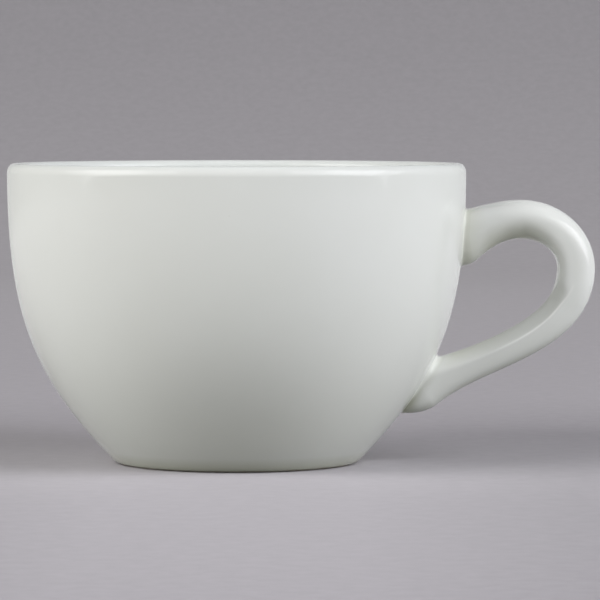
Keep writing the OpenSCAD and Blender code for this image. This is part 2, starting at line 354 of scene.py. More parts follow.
def outer_coat_section(b):
    """Closed section of the outside coat, with a rolled edge at the foot."""
    steps = 110
    t = np.linspace(side_at(b, b.coat_end_h), side_at(b, b.cup_h - b.lip_h), steps)
    back = np.append(t[:0:-4], t[0])
    outer = side_points(b, t, 0)
    inner = side_points(b, back, b.glaze_t)
    middle = (outer[0] + inner[-1]) / 2
    across = (outer[0] - inner[-1]) / 2
    roll = np.linspace(0, math.pi, 8)[1:-1, None]
    down = -cubic_way(side_curve(b), t[:1])[0]
    edge = middle - across * np.cos(roll) + b.glaze_t / 2 * down * np.sin(roll)
    return np.concatenate([
        outer[:-1],
        lip_points(b, 0, 90, 0, 40),
        lip_points(b, 90, 0, b.glaze_t, 10),
        inner[1:],
        edge,
    ])


def liner_section(b):
    """Section of the inside coat, from the axis on the floor over the lip's crest and back."""
    face = inside_points(b, 0, 90, 30)
    back = inside_points(b, b.glaze_t, 30, 10)
    return np.concatenate([
        face[:0:-1],
        lip_points(b, 180, 90, 0, 40),
        lip_points(b, 90, 180, b.glaze_t, 10),
        back[1:],
    ])


def base_coat_section(b):
    """Section of the coat in the hollow, with a rim that runs a little way down the ring's wall."""
    top = b.hollow_h + b.glaze_t
    level = hollow_radius(b, b.hollow_h)
    climb, run = 0.7 * MM, 1.6 * MM
    start = np.array([level - run, b.hollow_h])
    knee = np.array([level - 0.25 * run, b.hollow_h])
    end = np.array([hollow_radius(b, b.hollow_h - climb), b.hollow_h - climb])
    rim = rounded(start, knee, end, np.linspace(0, 1, 14)[:, None])
    flat = np.linspace(0, 1, 12)[:-1, None] * np.array([start[0], 0]) + (0, b.hollow_h)
    return np.concatenate([flat, rim, [[hollow_radius(b, top), top], [0, top]]])


# Loop of the handle

# Each form gives the thickness, width, crown, ridge, squareness, taper and squareness inside

def upper_form(h, t):
    """Section along the upper arm: a round bar that is squarer at its root."""
    thick = mix(h.upper_root_t, h.crest_t, 1 - (1 - t) ** 2)
    width = mix(h.root_w, h.grip_w, ease(t))
    return thick, width, h.upper_crown * thick, 0, mix(h.upper_square, ROUND, ease(t)), 0, ROUND


def bend_form(h, t):
    """Section from the highest to the outermost point, which gets squarer."""
    thick = mix(h.crest_t, h.bend_t, ease(t))
    crown = mix(h.upper_crown * thick, h.crown_h, h.ridge_lead * ease(t))
    square = mix(ROUND, h.bend_square, ease(t))
    return thick, h.grip_w, crown, 0, square, 0, mix(ROUND, h.bend_inside, ease(t))


def lower_form(h, t):
    """Section along the lower arm, with ridges that rise below the bend and fade before the root."""
    early = mix(h.bend_t, h.arm_t, ease(np.clip(t / h.arm_at, 0, 1)))
    late = np.clip((t - h.arm_at) / (1 - h.arm_at), 0, 1)
    thick = np.where(t < h.arm_at, early, mix(h.arm_t, h.lower_root_t, late ** 2))
    width = mix(h.grip_w, h.root_w, t ** 3)
    full = ease(np.clip((t - h.ridge_from) / (h.ridge_at - h.ridge_from), 0, 1))
    fade = ease(np.clip((t - h.ridge_to) / (1 - h.ridge_to), 0, 1))
    crown = mix(h.upper_crown * thick, h.crown_h, mix(h.ridge_lead, 1, full))
    crown = mix(crown, h.toe_crown_h, fade)
    square = mix(h.bend_square, mix(h.square, h.root_square, t ** 2), full)
    taper = full * mix(h.taper, h.root_taper, t ** 2)
    return thick, width, crown, full * (1 - fade), square, taper, mix(h.bend_inside, ROUND, full)


def loop_stations(b, h):
    """Stations along the loop, from inside one root to inside the other: centre, direction and form."""
    radius = side_radius(b)
    upper_z = b.cup_h - h.upper_root_drop
    upper = np.array([radius(upper_z), upper_z])
    crest_z = b.cup_h - h.drop - h.crest_t / 2
    bend = np.array([b.rim_d / 2 + h.reach - h.bend_t / 2, crest_z - h.bend_drop])
    crest = bend + (-h.crest_back, h.bend_drop)
    lower = np.array([radius(h.lower_root_z) + h.lower_root_out, h.lower_root_z])
    round_share = 0.5523
    curves = (
        [upper, upper + h.upper_root_pull * heading(h.upper_root_tilt), crest - (h.crest_pull, 0), crest],
        [crest, crest + (round_share * h.crest_back, 0), bend + (0, round_share * h.bend_drop), bend],
        [bend, bend - (0, h.bend_pull), lower + h.lower_root_pull * heading(h.lower_root_tilt), lower],
    )
    places = np.linspace(0, 1, 70), np.linspace(0, 1, 70)[1:], np.linspace(0, 1, 110)[1:]
    parts = []
    for curve, form, t in zip(curves, (upper_form, bend_form, lower_form), places):
        columns = np.broadcast_arrays(*form(h, t))
        parts.append(np.column_stack([cubic(curve, t), cubic_way(curve, t), *columns]))
    lead_depth, lead_steps = 3.5 * MM, 20
    lead = np.repeat(parts[0][:1], lead_steps, 0)
    lead[:, :2] -= np.linspace(lead_depth, 0, lead_steps + 1)[:-1, None] * lead[:, 2:4]
    toe_steps = 29
    turn_r = h.toe_r - h.lower_root_t / 2
    hub = lower - turn_r * left_of(parts[2][-1, 2:4])
    turns = np.linspace(h.lower_root_tilt, 0, toe_steps + 1)[1:]
    toe = np.repeat(parts[2][-1:], toe_steps, 0)
    toe[:, :2] = hub + turn_r * heading(turns - math.pi / 2)
    toe[:, 2:4] = heading(math.pi + turns)
    run_depth, run_steps = 8 * MM, 40
    run = np.repeat(toe[-1:], run_steps, 0)
    run[:, :2] += np.linspace(0, run_depth, run_steps + 1)[1:, None] * run[:, 2:4]
    return np.concatenate([lead, *parts, toe, run])


def section_ring(h, form, skin):
    """Points round one section, across and out, with its ridges softened and skin taken off."""
    thick, width, crown, ridge, square, taper, inside = form
    fine = FINE * AROUND
    angles = np.linspace(0, 2 * math.pi, fine + 1)
    across, rise = np.cos(angles), np.sin(angles)
    high = np.maximum(rise, 0) ** (2 / square)
    side = np.sign(across) * np.where(rise > 0, np.abs(across) ** (2 / square), np.abs(across))
    bow, root = mix(inside, h.roof, ridge), mix(1 / inside, 1, ridge)
    low = np.where(rise < 0, np.maximum(0, 1 - np.abs(across) ** bow) ** root, 0)
    wide = (width / 2 - skin) * side * (1 - taper * high)
    tall = crown - thick / 2 + (thick - crown - skin) * high - (crown - skin) * low
    gone = np.concatenate([[0], np.cumsum(np.hypot(np.diff(wide), np.diff(tall)))])
    half, whole = gone[fine // 2], gone[-1]
    even = np.concatenate([
        np.linspace(0, half, FINE * RIDGE, endpoint=False),
        np.linspace(half, whole, FINE * (AROUND - RIDGE), endpoint=False),
    ])
    waves = np.fft.rfftfreq(fine, 1 / fine)
    blur = np.exp(-0.5 * (2 * math.pi * waves * h.ridge_soft / whole) ** 2)
    soft = [np.fft.irfft(np.fft.rfft(np.interp(even, gone, line)) * blur, fine) for line in (wide, tall)]
    return soft[0][::FINE], soft[1][::FINE]


def loop_lines(b, h, skin):
    """Grid of points on the handle, stations by points round the section, with skin taken off.

    The fourth value of a point is its share of the way from the inner face to the outside.
    """
    rows = []
    for station in loop_stations(b, h):
        centre, way, thick = station[:2], station[2:4], station[4]
        wide, tall = section_ring(h, station[4:], skin)
        at = centre + tall[:, None] * left_of(way)
        rows.append(np.column_stack([at[:, 0], wide, at[:, 1], tall / thick + 0.5]))
    lines = np.array(rows)
    low_half = lines[len(lines) // 2:]
    near = np.clip(1 - height_over_side(b, low_half) / h.toe_pinch_reach, 0, 1) ** 2
    low_half[..., 1] *= 1 - h.toe_pinch * near * ease(np.clip(low_half[..., 3], 0, 1))
    return lines


# Roots of the handle, where its lines come out of the bowl

def height_over_side(b, points):
    """Distance of points outside the bowl's side, measured level."""
    return np.hypot(points[..., 0], points[..., 1]) - side_radius(b)(points[..., 2])


def side_normals(b, points):
    """Outward directions of the bowl's side at points on it."""
    step = 0.01 * MM
    radius = side_radius(b)
    slope = (radius(points[:, 2] + step) - radius(points[:, 2] - step)) / (2 * step)
    flat = np.hypot(points[:, 0], points[:, 1])
    return unit(np.column_stack([points[:, 0] / flat, points[:, 1] / flat, -slope]))


def onto_side(b, points, lift):
    """Points moved level onto the bowl's side, lifted off it a little."""
    moved = points.copy()
    scale = (side_radius(b)(points[..., 2]) + lift) / np.hypot(points[..., 0], points[..., 1])
    moved[..., :2] *= scale[..., None]
    return moved


def cut_line(b, line, level):
    """Place along a line, as a row number, where it comes out of the bowl past a level."""
    off = height_over_side(b, line) - level
    first = int(np.argmax(off > 0))
    return first - off[first] / (off[first] - off[first - 1])


def sample_line(line, places):
    """Points of a line at row numbers."""
    rows = np.arange(len(line))
    return np.stack([np.interp(places, rows, line[:, c]) for c in range(3)], -1)


def along_line(line, start, reach):
    """Row number that lies a distance past a start row."""
    rows = np.concatenate([[start], np.arange(int(start) + 1, len(line))])
    steps = np.linalg.norm(np.diff(sample_line(line, rows), axis=0), axis=1)
    return np.interp(reach, np.concatenate([[0], np.cumsum(steps)]), rows)


def one_each(strips, places):
    """One point of each strip, at its own row number."""
    return np.array([sample_line(line, [place])[0] for line, place in zip(strips, places)])


def root_rows(b, lines, leg_in, leg_out, join, fillet_steps, run_steps):
    """Rows from the bowl's face up a fillet and along the handle to row join."""
    strips = lines.swapaxes(0, 1)
    rows = np.arange(len(lines))
    starts = np.array([cut_line(b, line, 0) for line in strips])
    foot = one_each(strips, starts)
    share = np.array([np.interp(start, rows, line[:, 3]) for line, start in zip(strips, starts)])
    leg = mix(leg_in, leg_out, ease(np.clip(share, 0, 1)))
    way = unit(np.roll(foot, -1, 0) - np.roll(foot, 1, 0))
    out = unit(np.cross(side_normals(b, foot), way))
    out *= np.sign(np.sum(out * (foot - foot.mean(0)), 1, keepdims=True))
    lift, sink, hem = 0.012 * MM, -0.03 * MM, 1.0 * MM
    skirt = onto_side(b, foot + (leg[:, None] + hem) * out, sink)
    bottom = onto_side(b, foot + leg[:, None] * out, lift)
    tops = np.array([along_line(*each) for each in zip(strips, starts, leg)])
    top = one_each(strips, tops)
    fillet = [rounded(bottom, foot, top, u) for u in np.linspace(0, 1, fillet_steps)[1:]]
    run = [one_each(strips, mix(tops, join, u)) for u in np.linspace(0, 1, run_steps)[1:]]
    return np.array([skirt, bottom, *fillet, *run])


def cut_rows(b, lines, low, high, steps):
    """Rows between two levels over the bowl's face, at one root."""
    rows = []
    for line in lines.swapaxes(0, 1):
        start, stop = cut_line(b, line, low), cut_line(b, line, high)
        rows.append(sample_line(line, np.linspace(start, stop, steps)))
    return np.array(rows).swapaxes(0, 1)


def run_rows(b, lines, level, join, steps):
    """Rows from a level over the bowl's face along the handle to row join."""
    rows = []
    for line in lines.swapaxes(0, 1):
        rows.append(sample_line(line, np.linspace(cut_line(b, line, level), join, steps)))
    return np.array(rows).swapaxes(0, 1)


# Marks in the handle's glaze

# Each is a line of pairs, of a row of the coat and a strength; the lower root's rows count from the end
# Painted shade on the inner face of the loop, under the upper arm and inside the bend
INNER_FACE_SHADE = (
    (10, 0.0), (40, 0.9), (78, 0.9), (110, 0.0), (190, 0.0), (228, 0.7), (250, 0.4), (270, 0.0),
)
# Painted shade with some pooled glaze round the upper root, where the handle meets the bowl
UPPER_ROOT_SHADE_AND_POOL = ((0, 0.0), (1, 0.25), (2, 0.4), (11, 0.7), (18, 0.7), (19, 0.55), (44, 0.0))
# Painted shade with some pooled glaze round the lower root, darkest in the crease under the toe
LOWER_ROOT_SHADE_AND_POOL = ((0, 0.0), (1, 0.25), (2, 0.4), (11, 0.7), (15, 0.7), (16, 0.55), (25, 0.0))
# Painted highlight along both ridges of the lower arm, only in the rows where the lamps glint on them
RIDGE_HIGHLIGHT = ((150, 0.0), (168, 1.0), (190, 1.0), (216, 0.0))
# Share of the painted highlight's strength at the points beside a ridge
RIDGE_HIGHLIGHT_BESIDE = 0.3
# Strength of the lower root's painted shade and pooled glaze, inside the loop and under the toe
SHADE_AND_POOL_IN_LOOP, SHADE_AND_POOL_UNDER_TOE = 0.3, 1.4


def strength(rows, pairs):
    """Column with a mark's strength at rows of the coat."""
    return np.interp(rows, *zip(*pairs))[:, None]


def glaze_marks(count, share):
    """Painted shade with pooled glaze, and a painted highlight along the ridges, on the handle's outer
    rows; share is 1 on the outside of its toe.
    """
    rows = np.arange(count)
    inner = np.sin(math.pi * np.clip((np.arange(AROUND) - RIDGE) / (AROUND - RIDGE), 0, 1))
    shade_and_pool = np.maximum(strength(rows, INNER_FACE_SHADE) * inner, strength(rows, UPPER_ROOT_SHADE_AND_POOL))
    toe_from, toe_full = 0.4, 0.8
    under_toe = ease(np.clip((share - toe_from) / (toe_full - toe_from), 0, 1))
    lower = strength(rows[::-1], LOWER_ROOT_SHADE_AND_POOL) * mix(SHADE_AND_POOL_IN_LOOP, SHADE_AND_POOL_UNDER_TOE, under_toe)
    # Painted highlight on the ridge points and, weaker, on the points beside them
    line = strength(rows, RIDGE_HIGHLIGHT)
    ridge_highlight = np.zeros((count, AROUND))
    for ridge in (0, RIDGE):
        ridge_highlight[:, [ridge]] = line
        ridge_highlight[:, [ridge - 1, ridge + 1]] = RIDGE_HIGHLIGHT_BESIDE * line
    return np.maximum(shade_and_pool, lower), ridge_highlight


# Meshes

def grid_mesh(name, rows, ring_closed, finish):
    """Mesh of a grid whose rows close on themselves; the last row joins the first, or both get a cap."""
    count, around = rows.shape[:2]
    index = np.arange(count * around).reshape(count, around)
    last = count if ring_closed else count - 1
    faces = []
    for i in range(last):
        a, c = index[i], index[(i + 1) % count]
        faces += np.stack([a, np.roll(a, -1), np.roll(c, -1), c], -1).tolist()
    points = rows.reshape(-1, 3).tolist()
    if not ring_closed:
        for row in (index[0], index[-1]):
            points.append(np.mean([points[k] for k in row], 0).tolist())
            hub = len(points) - 1
            faces += [[row[j], row[(j + 1) % around], hub] for j in range(around)]
    mesh = bpy.data.meshes.new(name)
    mesh.from_pydata(points, [], faces)
    mesh.materials.append(finish)
    return mesh


def piece(name, mesh, slot, *nodes):
    """Object made of a mesh, which rides on the cup and stands for its solids."""
    made = bpy.data.objects.new(name, mesh)
    bpy.context.scene.collection.objects.link(made)
    settle(made, slot, *nodes)
    return made


def settle(made, slot, *nodes):
    """Turns a piece's faces outwards, sets its shading and ties it to the cup."""
    cloth = bmesh.new()
    cloth.from_mesh(made.data)
    bmesh.ops.recalc_face_normals(cloth, faces=cloth.faces)
    cloth.to_mesh(made.data)
    cloth.free()
    made.data.shade_smooth()
    made.data.set_sharp_from_angle(angle=SHARP_TURN)
    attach(made, "root")
    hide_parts(*nodes)


def add(tree, kind, links=None, **settings):
    """Adds a node with its settings, and links or sets its inputs by name or number."""
    made = tree.nodes.new(kind)
    for key, value in settings.items():
        setattr(made, key, value)
    for key, value in (links or {}).items():
        if isinstance(value, bpy.types.NodeSocket):
            tree.links.new(value, made.inputs[key])
        else:
            made.inputs[key].default_value = value
    return made


def worked(tree, operation, first, second, **settings):
    """Socket with the result of a calculation on two values."""
    return add(tree, "ShaderNodeMath", {0: first, 1: second}, operation=operation, **settings).outputs[0]


def wheel_tree():
    """Node tree that turns a section drawn in the XZ plane round the Z axis."""
    tree = bpy.data.node_groups.new("turned_on_the_wheel", "GeometryNodeTree")
    face = tree.interface
    face.new_socket("Section", in_out="INPUT", socket_type="NodeSocketGeometry")
    face.new_socket("Steps round", in_out="INPUT", socket_type="NodeSocketInt")
    face.new_socket("Wheel radius", in_out="INPUT", socket_type="NodeSocketFloat")
    face.new_socket("Weld distance", in_out="INPUT", socket_type="NodeSocketFloat")
    face.new_socket("Finish", in_out="INPUT", socket_type="NodeSocketMaterial")
    face.new_socket("Turned", in_out="OUTPUT", socket_type="NodeSocketGeometry")
    given = add(tree, "NodeGroupInput").outputs
    steps, radius, weld = given["Steps round"], given["Wheel radius"], given["Weld distance"]
    line = add(tree, "GeometryNodeMeshToCurve", {"Mesh": given["Section"]})
    at = add(tree, "ShaderNodeSeparateXYZ", {0: add(tree, "GeometryNodeInputPosition").outputs[0]}).outputs
    out = worked(tree, "SUBTRACT", at["X"], radius)
    down = worked(tree, "MULTIPLY", at["Z"], -1.0)
    flat = add(tree, "ShaderNodeCombineXYZ", {"X": out, "Y": down})
    laid = add(tree, "GeometryNodeSetPosition", {"Geometry": line.outputs[0], "Position": flat.outputs[0]})
    wheel = add(tree, "GeometryNodeCurvePrimitiveCircle", {"Resolution": steps, "Radius": radius})
    upright = add(tree, "GeometryNodeSetCurveNormal", {"Curve": wheel.outputs[0]}, mode="Z_UP")
    both = {"Curve": upright.outputs[0], "Profile Curve": laid.outputs[0]}
    turned = add(tree, "GeometryNodeCurveToMesh", both)
    welded = add(tree, "GeometryNodeMergeByDistance", {"Geometry": turned.outputs[0], "Distance": weld})
    real = add(tree, "GeometryNodeRealizeInstances", {"Geometry": welded.outputs[0]})
    done = add(tree, "GeometryNodeSetMaterial", {"Geometry": real.outputs[0], "Material": given["Finish"]})
    add(tree, "NodeGroupOutput", {"Turned": done.outputs[0]})
    return tree


def turn(name, section, closed, finish, slot, *nodes):
    """Turns a section on the wheel, and keeps the result as a plain mesh."""
    count = len(section)
    wire = bpy.data.meshes.new(name)
    edges = [(i, (i + 1) % count) for i in range(count if closed else count - 1)]
    wire.from_pydata([(r, 0, z) for r, z in section], edges, [])
    made = bpy.data.objects.new(name, wire)
    bpy.context.scene.collection.objects.link(made)
    tree = bpy.data.node_groups.get("turned_on_the_wheel") or wheel_tree()
    wheel = made.modifiers.new("wheel", "NODES")
    wheel.node_group = tree
    values = {
        "Steps round": bpy.context.scene.cup_bowl.steps_round,
        "Wheel radius": 20 * MM,
        "Weld distance": 0.001 * MM,
        "Finish": finish,
    }
    for socket in tree.interface.items_tree:
        if socket.name in values:
            wheel[socket.identifier] = values[socket.name]
    seen = made.evaluated_get(bpy.context.evaluated_depsgraph_get())
    mesh = bpy.data.meshes.new_from_object(seen)
    made.modifiers.clear()
    made.data = mesh
    bpy.data.meshes.remove(wire)
    mesh.name = name
    if len(mesh.polygons) == 0:
        raise RuntimeError("the wheel turned nothing for " + name)
    settle(made, slot, *nodes)
    return made


# Finishes

# Colour sockets of a Mix node, whose names are shared by its sockets for other values
MIX_A, MIX_B, MIX_RESULT = 6, 7, 2
# Values of a noise that a mottle spreads over its range
NOISE_LOW, NOISE_HIGH = 0.3, 0.7


def new_finish(name):
    """Empty node material, with its shader and the piece's own coordinates."""
    made = bpy.data.materials.get(name)
    if made:
        return made, None, None, None
    made = bpy.data.materials.new(name)
    made.use_nodes = True
    tree = made.node_tree
    tree.nodes.clear()
    shader = add(tree, "ShaderNodeBsdfPrincipled")
    add(tree, "ShaderNodeOutputMaterial", {"Surface": shader.outputs[0]})
    place = add(tree, "ShaderNodeTexCoord").outputs["Object"]
    return made, tree, shader, place


def per_mm(size):
    """Texture scale that gives features of a size in millimetres."""
    return 1 / (size * MM)


def rgba(value):
    """Colour with a full alpha."""
    return (*value, 1.0)


def noise(tree, place, size, detail):
    """Socket of a noise with features of a size in millimetres."""
    links = {"Vector": place, "Scale": per_mm(size), "Detail": detail}
    return add(tree, "ShaderNodeTexNoise", links).outputs["Fac"]


def ranged(tree, value, low, high, first, last):
    """Socket that goes from first to last while a value goes from low to high."""
    return add(tree, "ShaderNodeMapRange", {"Value": value, 1: low, 2: high, 3: first, 4: last}).outputs[0]


def mottle(tree, place, size, detail, first, last):
    """Socket of a noise that goes from first to last."""
    return ranged(tree, noise(tree, place, size, detail), NOISE_LOW, NOISE_HIGH, first, last)


def tinted(tree, share, under, over):
    """Socket that goes from one colour to another by a share; each may be a socket too."""
    under, over = (c if isinstance(c, bpy.types.NodeSocket) else rgba(c) for c in (under, over))
    links = {"Factor": share, MIX_A: under, MIX_B: over}
    return add(tree, "ShaderNodeMix", links, data_type="RGBA").outputs[MIX_RESULT]


def bumpy(tree, shader, height, amount, depth):
    """Gives a shader bumps of a depth."""
    bump = add(tree, "ShaderNodeBump", {"Height": height, "Strength": amount, "Distance": depth})
    tree.links.new(bump.outputs[0], shader.inputs["Normal"])


def china_glaze(name, body):
    """Clear glaze over white china, dipped and fired: a smooth wet gloss with a faint ripple like
    orange peel, painted shade that darkens and cools the lip, a painted highlight along each ridge, olive
    painted shade near the foot and on the handle with some pooled glaze at its roots, a faint olive drift
    and a rare faint speck."""
    c = bpy.context.scene.cup_finish
    b = bpy.context.scene.cup_bowl
    made, tree, shader, place = new_finish(name)
    if tree is None:
        return made
    height = add(tree, "ShaderNodeSeparateXYZ", {0: place}).outputs["Z"]
    lip_band, foot_shade_top, foot_shade_full = 1.2 * MM, 3.2 * MM, 0.8 * MM
    # Painted shade over the rim's top band, where the lip's darker tone is laid
    lip = ranged(tree, height, b.cup_h - lip_band, b.cup_h, 0.0, 0.8)
    # Painted shade near the table: the glaze darkens towards the foot over its lowest 3.2 mm
    foot = ranged(tree, height, foot_shade_top, foot_shade_full, 0.0, 0.9)
    # Painted shade on the handle's inner face and at its roots, with pooled glaze at the roots, read from a
    # point attribute
    shaded_and_pooled = add(tree, "ShaderNodeAttribute", attribute_name="shade_and_pool").outputs["Fac"]
    drift = mottle(tree, place, 28, 3.0, 0.0, 0.1)
    # Painted shade, pooled glaze and a faint random drift all mix into the darker olive tone
    shade_pool_and_drift = worked(tree, "ADD", worked(tree, "MAXIMUM", foot, shaded_and_pooled), drift, use_clamp=True)
    # Painted highlight along the handle's ridges, read from a point attribute of its coat
    ridge_highlight = add(tree, "ShaderNodeAttribute", attribute_name="ridge_highlight").outputs["Fac"]
    cells = add(tree, "ShaderNodeTexVoronoi", {"Vector": place, "Scale": per_mm(16), "Randomness": 1.0})
    speck_core, speck_edge = 0.008, 0.016
    spot = ranged(tree, cells.outputs["Distance"], speck_core, speck_edge, 0.35, 0.0)
    tone = tinted(tree, lip, body, c.glaze_lip_shade)
    tone = tinted(tree, shade_pool_and_drift, tone, c.glaze_shade_and_pool)
    tone = tinted(tree, ridge_highlight, tone, c.glaze_ridge_highlight)
    tone = tinted(tree, spot, tone, c.speck)
    tree.links.new(tone, shader.inputs["Base Color"])
    tree.links.new(mottle(tree, place, 9, 2.0, 0.07, 0.11), shader.inputs["Roughness"])
    bumpy(tree, shader, noise(tree, place, 5, 1.0), 0.5, 0.02 * MM)
    shader.inputs["IOR"].default_value = 1.34
    return made


def bare_clay():
    """Unglazed fired china, wiped clean of glaze and rubbed smooth: matt and chalky,
    with fine grit and grey rubbing on the faces that slide over tables."""
    c = bpy.context.scene.cup_finish
    made, tree, shader, place = new_finish("bare_clay")
    if tree is None:
        return made
    rubbed = ranged(tree, noise(tree, place, 6, 5.0), 0.42, 0.68, 0.0, 0.75)
    tree.links.new(tinted(tree, rubbed, c.clay, c.clay_stain), shader.inputs["Base Color"])
    bumpy(tree, shader, noise(tree, place, 0.35, 3.0), 0.6, 0.05 * MM)
    shader.inputs["Roughness"].default_value = 0.78
    return made


def fired_slip():
    """Liquid clay that set hard between handle and bowl: matt, with the drag marks of a brush."""
    c = bpy.context.scene.cup_finish
    made, tree, shader, place = new_finish("fired_slip")
    if tree is None:
        return made
    drag = noise(tree, place, 1.5, 4.0)
    tree.links.new(tinted(tree, drag, c.slip, c.clay), shader.inputs["Base Color"])
    bumpy(tree, shader, drag, 0.5, 0.08 * MM)
    shader.inputs["Roughness"].default_value = 0.85
    return made


def sweep_paper():
    """Matt background paper with a faint fibre mottle, graded from front to back as painted light falloff,
    with a painted shadow of the cup just behind it and painted shade towards left and right in front. To
    mirrored rays its far end is paler, a painted reflection, and scattered rays see the bounce."""
    s = bpy.context.scene.cup_stage
    made, tree, shader, place = new_finish("sweep_paper")
    if tree is None:
        return made
    at = add(tree, "ShaderNodeSeparateXYZ", {0: place}).outputs
    depth = at["Y"]
    # The stops paint light falloff over the paper: darker in front, the cup's painted shadow just behind
    # it, paler where it curves up
    stops = (
        (-0.25, s.paper_front), (-0.04, s.paper), (0.07, s.paper_shadow_dip), (0.12, s.paper_shadow_dip),
        (0.185, s.paper_behind), (0.9, s.paper_back), (1.25, s.paper_top),
    )
    near, far = -0.25, 1.55
    grade = add(tree, "ShaderNodeValToRGB", {"Fac": ranged(tree, depth, near, far, 0.0, 1.0)})
    ramp = grade.color_ramp.elements
    while len(ramp) < len(stops):
        ramp.new(1.0)
    for stop, (y, tint) in zip(ramp, stops):
        stop.position = (y - near) / (far - near)
        stop.color = rgba(tint)
    fibre = mottle(tree, place, 4, 4.0, 0.97, 1.03)
    aside = add(tree, "ShaderNodeMath", {0: at["X"]}, operation="ABSOLUTE").outputs[0]
    # Painted shade towards left and right of the paper in front
    side_shade = ranged(tree, aside, 25 * MM, 70 * MM, 1.0, 0.86)
    level = worked(tree, "MULTIPLY", fibre, ranged(tree, depth, -30 * MM, 50 * MM, side_shade, 1.0))
    scaled = add(tree, "ShaderNodeVectorMath", {0: grade.outputs[0], "Scale": level}, operation="SCALE")
    body = scaled.outputs[0]
    ray = add(tree, "ShaderNodeLightPath").outputs
    direct = worked(tree, "ADD", ray["Is Camera Ray"], ray["Is Transmission Ray"], use_clamp=True)
    pale_from, pale_full = 0.05, 0.6
    mirrored = tinted(tree, ranged(tree, depth, pale_from, pale_full, 0.1, 1.0), body, s.paper_mirror)
    shown = tinted(tree, ray["Is Glossy Ray"], tinted(tree, direct, s.bounce, body), mirrored)
    tree.links.new(shown, shader.inputs["Base Color"])
    shader.inputs["Roughness"].default_value = 0.9
    shader.inputs["Specular IOR Level"].default_value = 0.2
    return made


# Stage

# Each side lamp has two faces: name, size, degrees round and up, distance and share of the power
LAMP_FACES = (
    ("core", (0.65, 0.75), 65, 28, 1.2, 0.32),
    ("wide", (1.35, 0.85), 62, 26.5, 1.26, 0.68),
)
LAMP_ROLL = 25
LAMP_AIM_H = 35 * MM
RIGHT_LAMP_TINT = (0.985, 1.0, 1.045)
# The two lamps behind: degrees round to each side, then degrees up, roll, distance and size
BACK_AROUND = 145
BACK_FACE = (28, 0, 1.2, (0.8, 0.5))


def sweep_mesh():
    """Mesh of the paper: a floor that curves up into an upright back."""
    front, back, bend, top, half = -1.6, 0.9, 0.6, 1.6, 1.8
    low = -0.02 * MM
    turns = np.linspace(0, math.pi / 2, 24)
    curve = [(back + bend * math.sin(a), low + bend - bend * math.cos(a)) for a in turns]
    outline = [(front, low), *curve, (back + bend, top)]
    points = [(x, y, z) for y, z in outline for x in (-half, half)]
    faces = [(2 * i, 2 * i + 1, 2 * i + 3, 2 * i + 2) for i in range(len(outline) - 1)]
    mesh = bpy.data.meshes.new("sweep")
    mesh.from_pydata(points, [], faces)
    mesh.materials.append(sweep_paper())
    mesh.shade_smooth()
    return mesh


def softbox(name, around, above, roll, distance, size, watts):
    """Adds a lamp with a flat face that looks at the cup, from angles in degrees."""
    data = bpy.data.lights.new(name, "AREA")
    data.shape = "RECTANGLE"
    data.size, data.size_y = size
    data.energy = watts
    lamp = bpy.data.objects.new(name, data)
    turn_z, turn_x = math.radians(around), math.radians(90 - above)
    face = Euler((turn_x, 0, turn_z)).to_matrix() @ Matrix.Rotation(math.radians(roll), 3, "Z")
    lamp.rotation_euler = face.to_euler()
    lamp.location = Vector((0, 0, LAMP_AIM_H)) + distance * face.col[2]
    bpy.context.scene.collection.objects.link(lamp)
    return lamp


def room_light(s):
    """World that lights the cup dimly and shows a grey room past the sweep."""
    world = bpy.data.worlds.new("room")
    world.use_nodes = True
    tree = world.node_tree
    tree.nodes.clear()
    dim = add(tree, "ShaderNodeBackground", {"Color": (1, 1, 1, 1), "Strength": s.room})
    seen = add(tree, "ShaderNodeBackground", {"Color": rgba(s.room_tone), "Strength": 1.0})
    ray = add(tree, "ShaderNodeLightPath").outputs["Is Camera Ray"]
    both = add(tree, "ShaderNodeMixShader", {0: ray, 1: dim.outputs[0], 2: seen.outputs[0]})
    add(tree, "ShaderNodeOutputWorld", {"Surface": both.outputs[0]})
    return world


def front_camera():
    """Camera in front of the cup, which looks a little down."""
    data = bpy.data.cameras.new("camera")
    data.lens, data.sensor_width = 224.9, 36.0
    data.clip_start, data.clip_end = 0.05, 20.0
    camera = bpy.data.objects.new("camera", data)
    camera.location = (14.01 * MM, -831.2 * MM, 78.53 * MM)
    look_down = 2.933
    camera.rotation_euler = (math.radians(90 - look_down), 0, 0)
    bpy.context.scene.collection.objects.link(camera)
    return camera


# Operators

class CUP_OT_bowl(bpy.types.Operator):
    """Turn the clay body with its bare foot ring"""

    bl_idname = "cup.bowl"
    bl_label = "Bowl"

    def execute(self, context):
        turn("bowl_clay", clay_section(context.scene.cup_bowl), False, bare_clay(), "clay", "bowl")
        return {"FINISHED"}


class CUP_OT_coats(bpy.types.Operator):
    """Turn the glaze coats outside, inside and under the bowl"""

    bl_idname = "cup.coats"
    bl_label = "Glaze coats"

    def execute(self, context):
        b, c = context.scene.cup_bowl, context.scene.cup_finish
        outside = china_glaze("china_glaze", c.glaze)
        # The inside coat gets the darker tone of painted shade
        inside = china_glaze("china_glaze_inside_shade", c.glaze_inside_shade)
        turn("outer_glaze_coat", outer_coat_section(b), True, outside, "glaze", "outer_glaze")
        turn("liner_glaze_coat", liner_section(b), False, inside, "glaze", "liner_glaze")
        turn("base_glaze_coat", base_coat_section(b), False, outside, "glaze", "base_glaze")
        return {"FINISHED"}


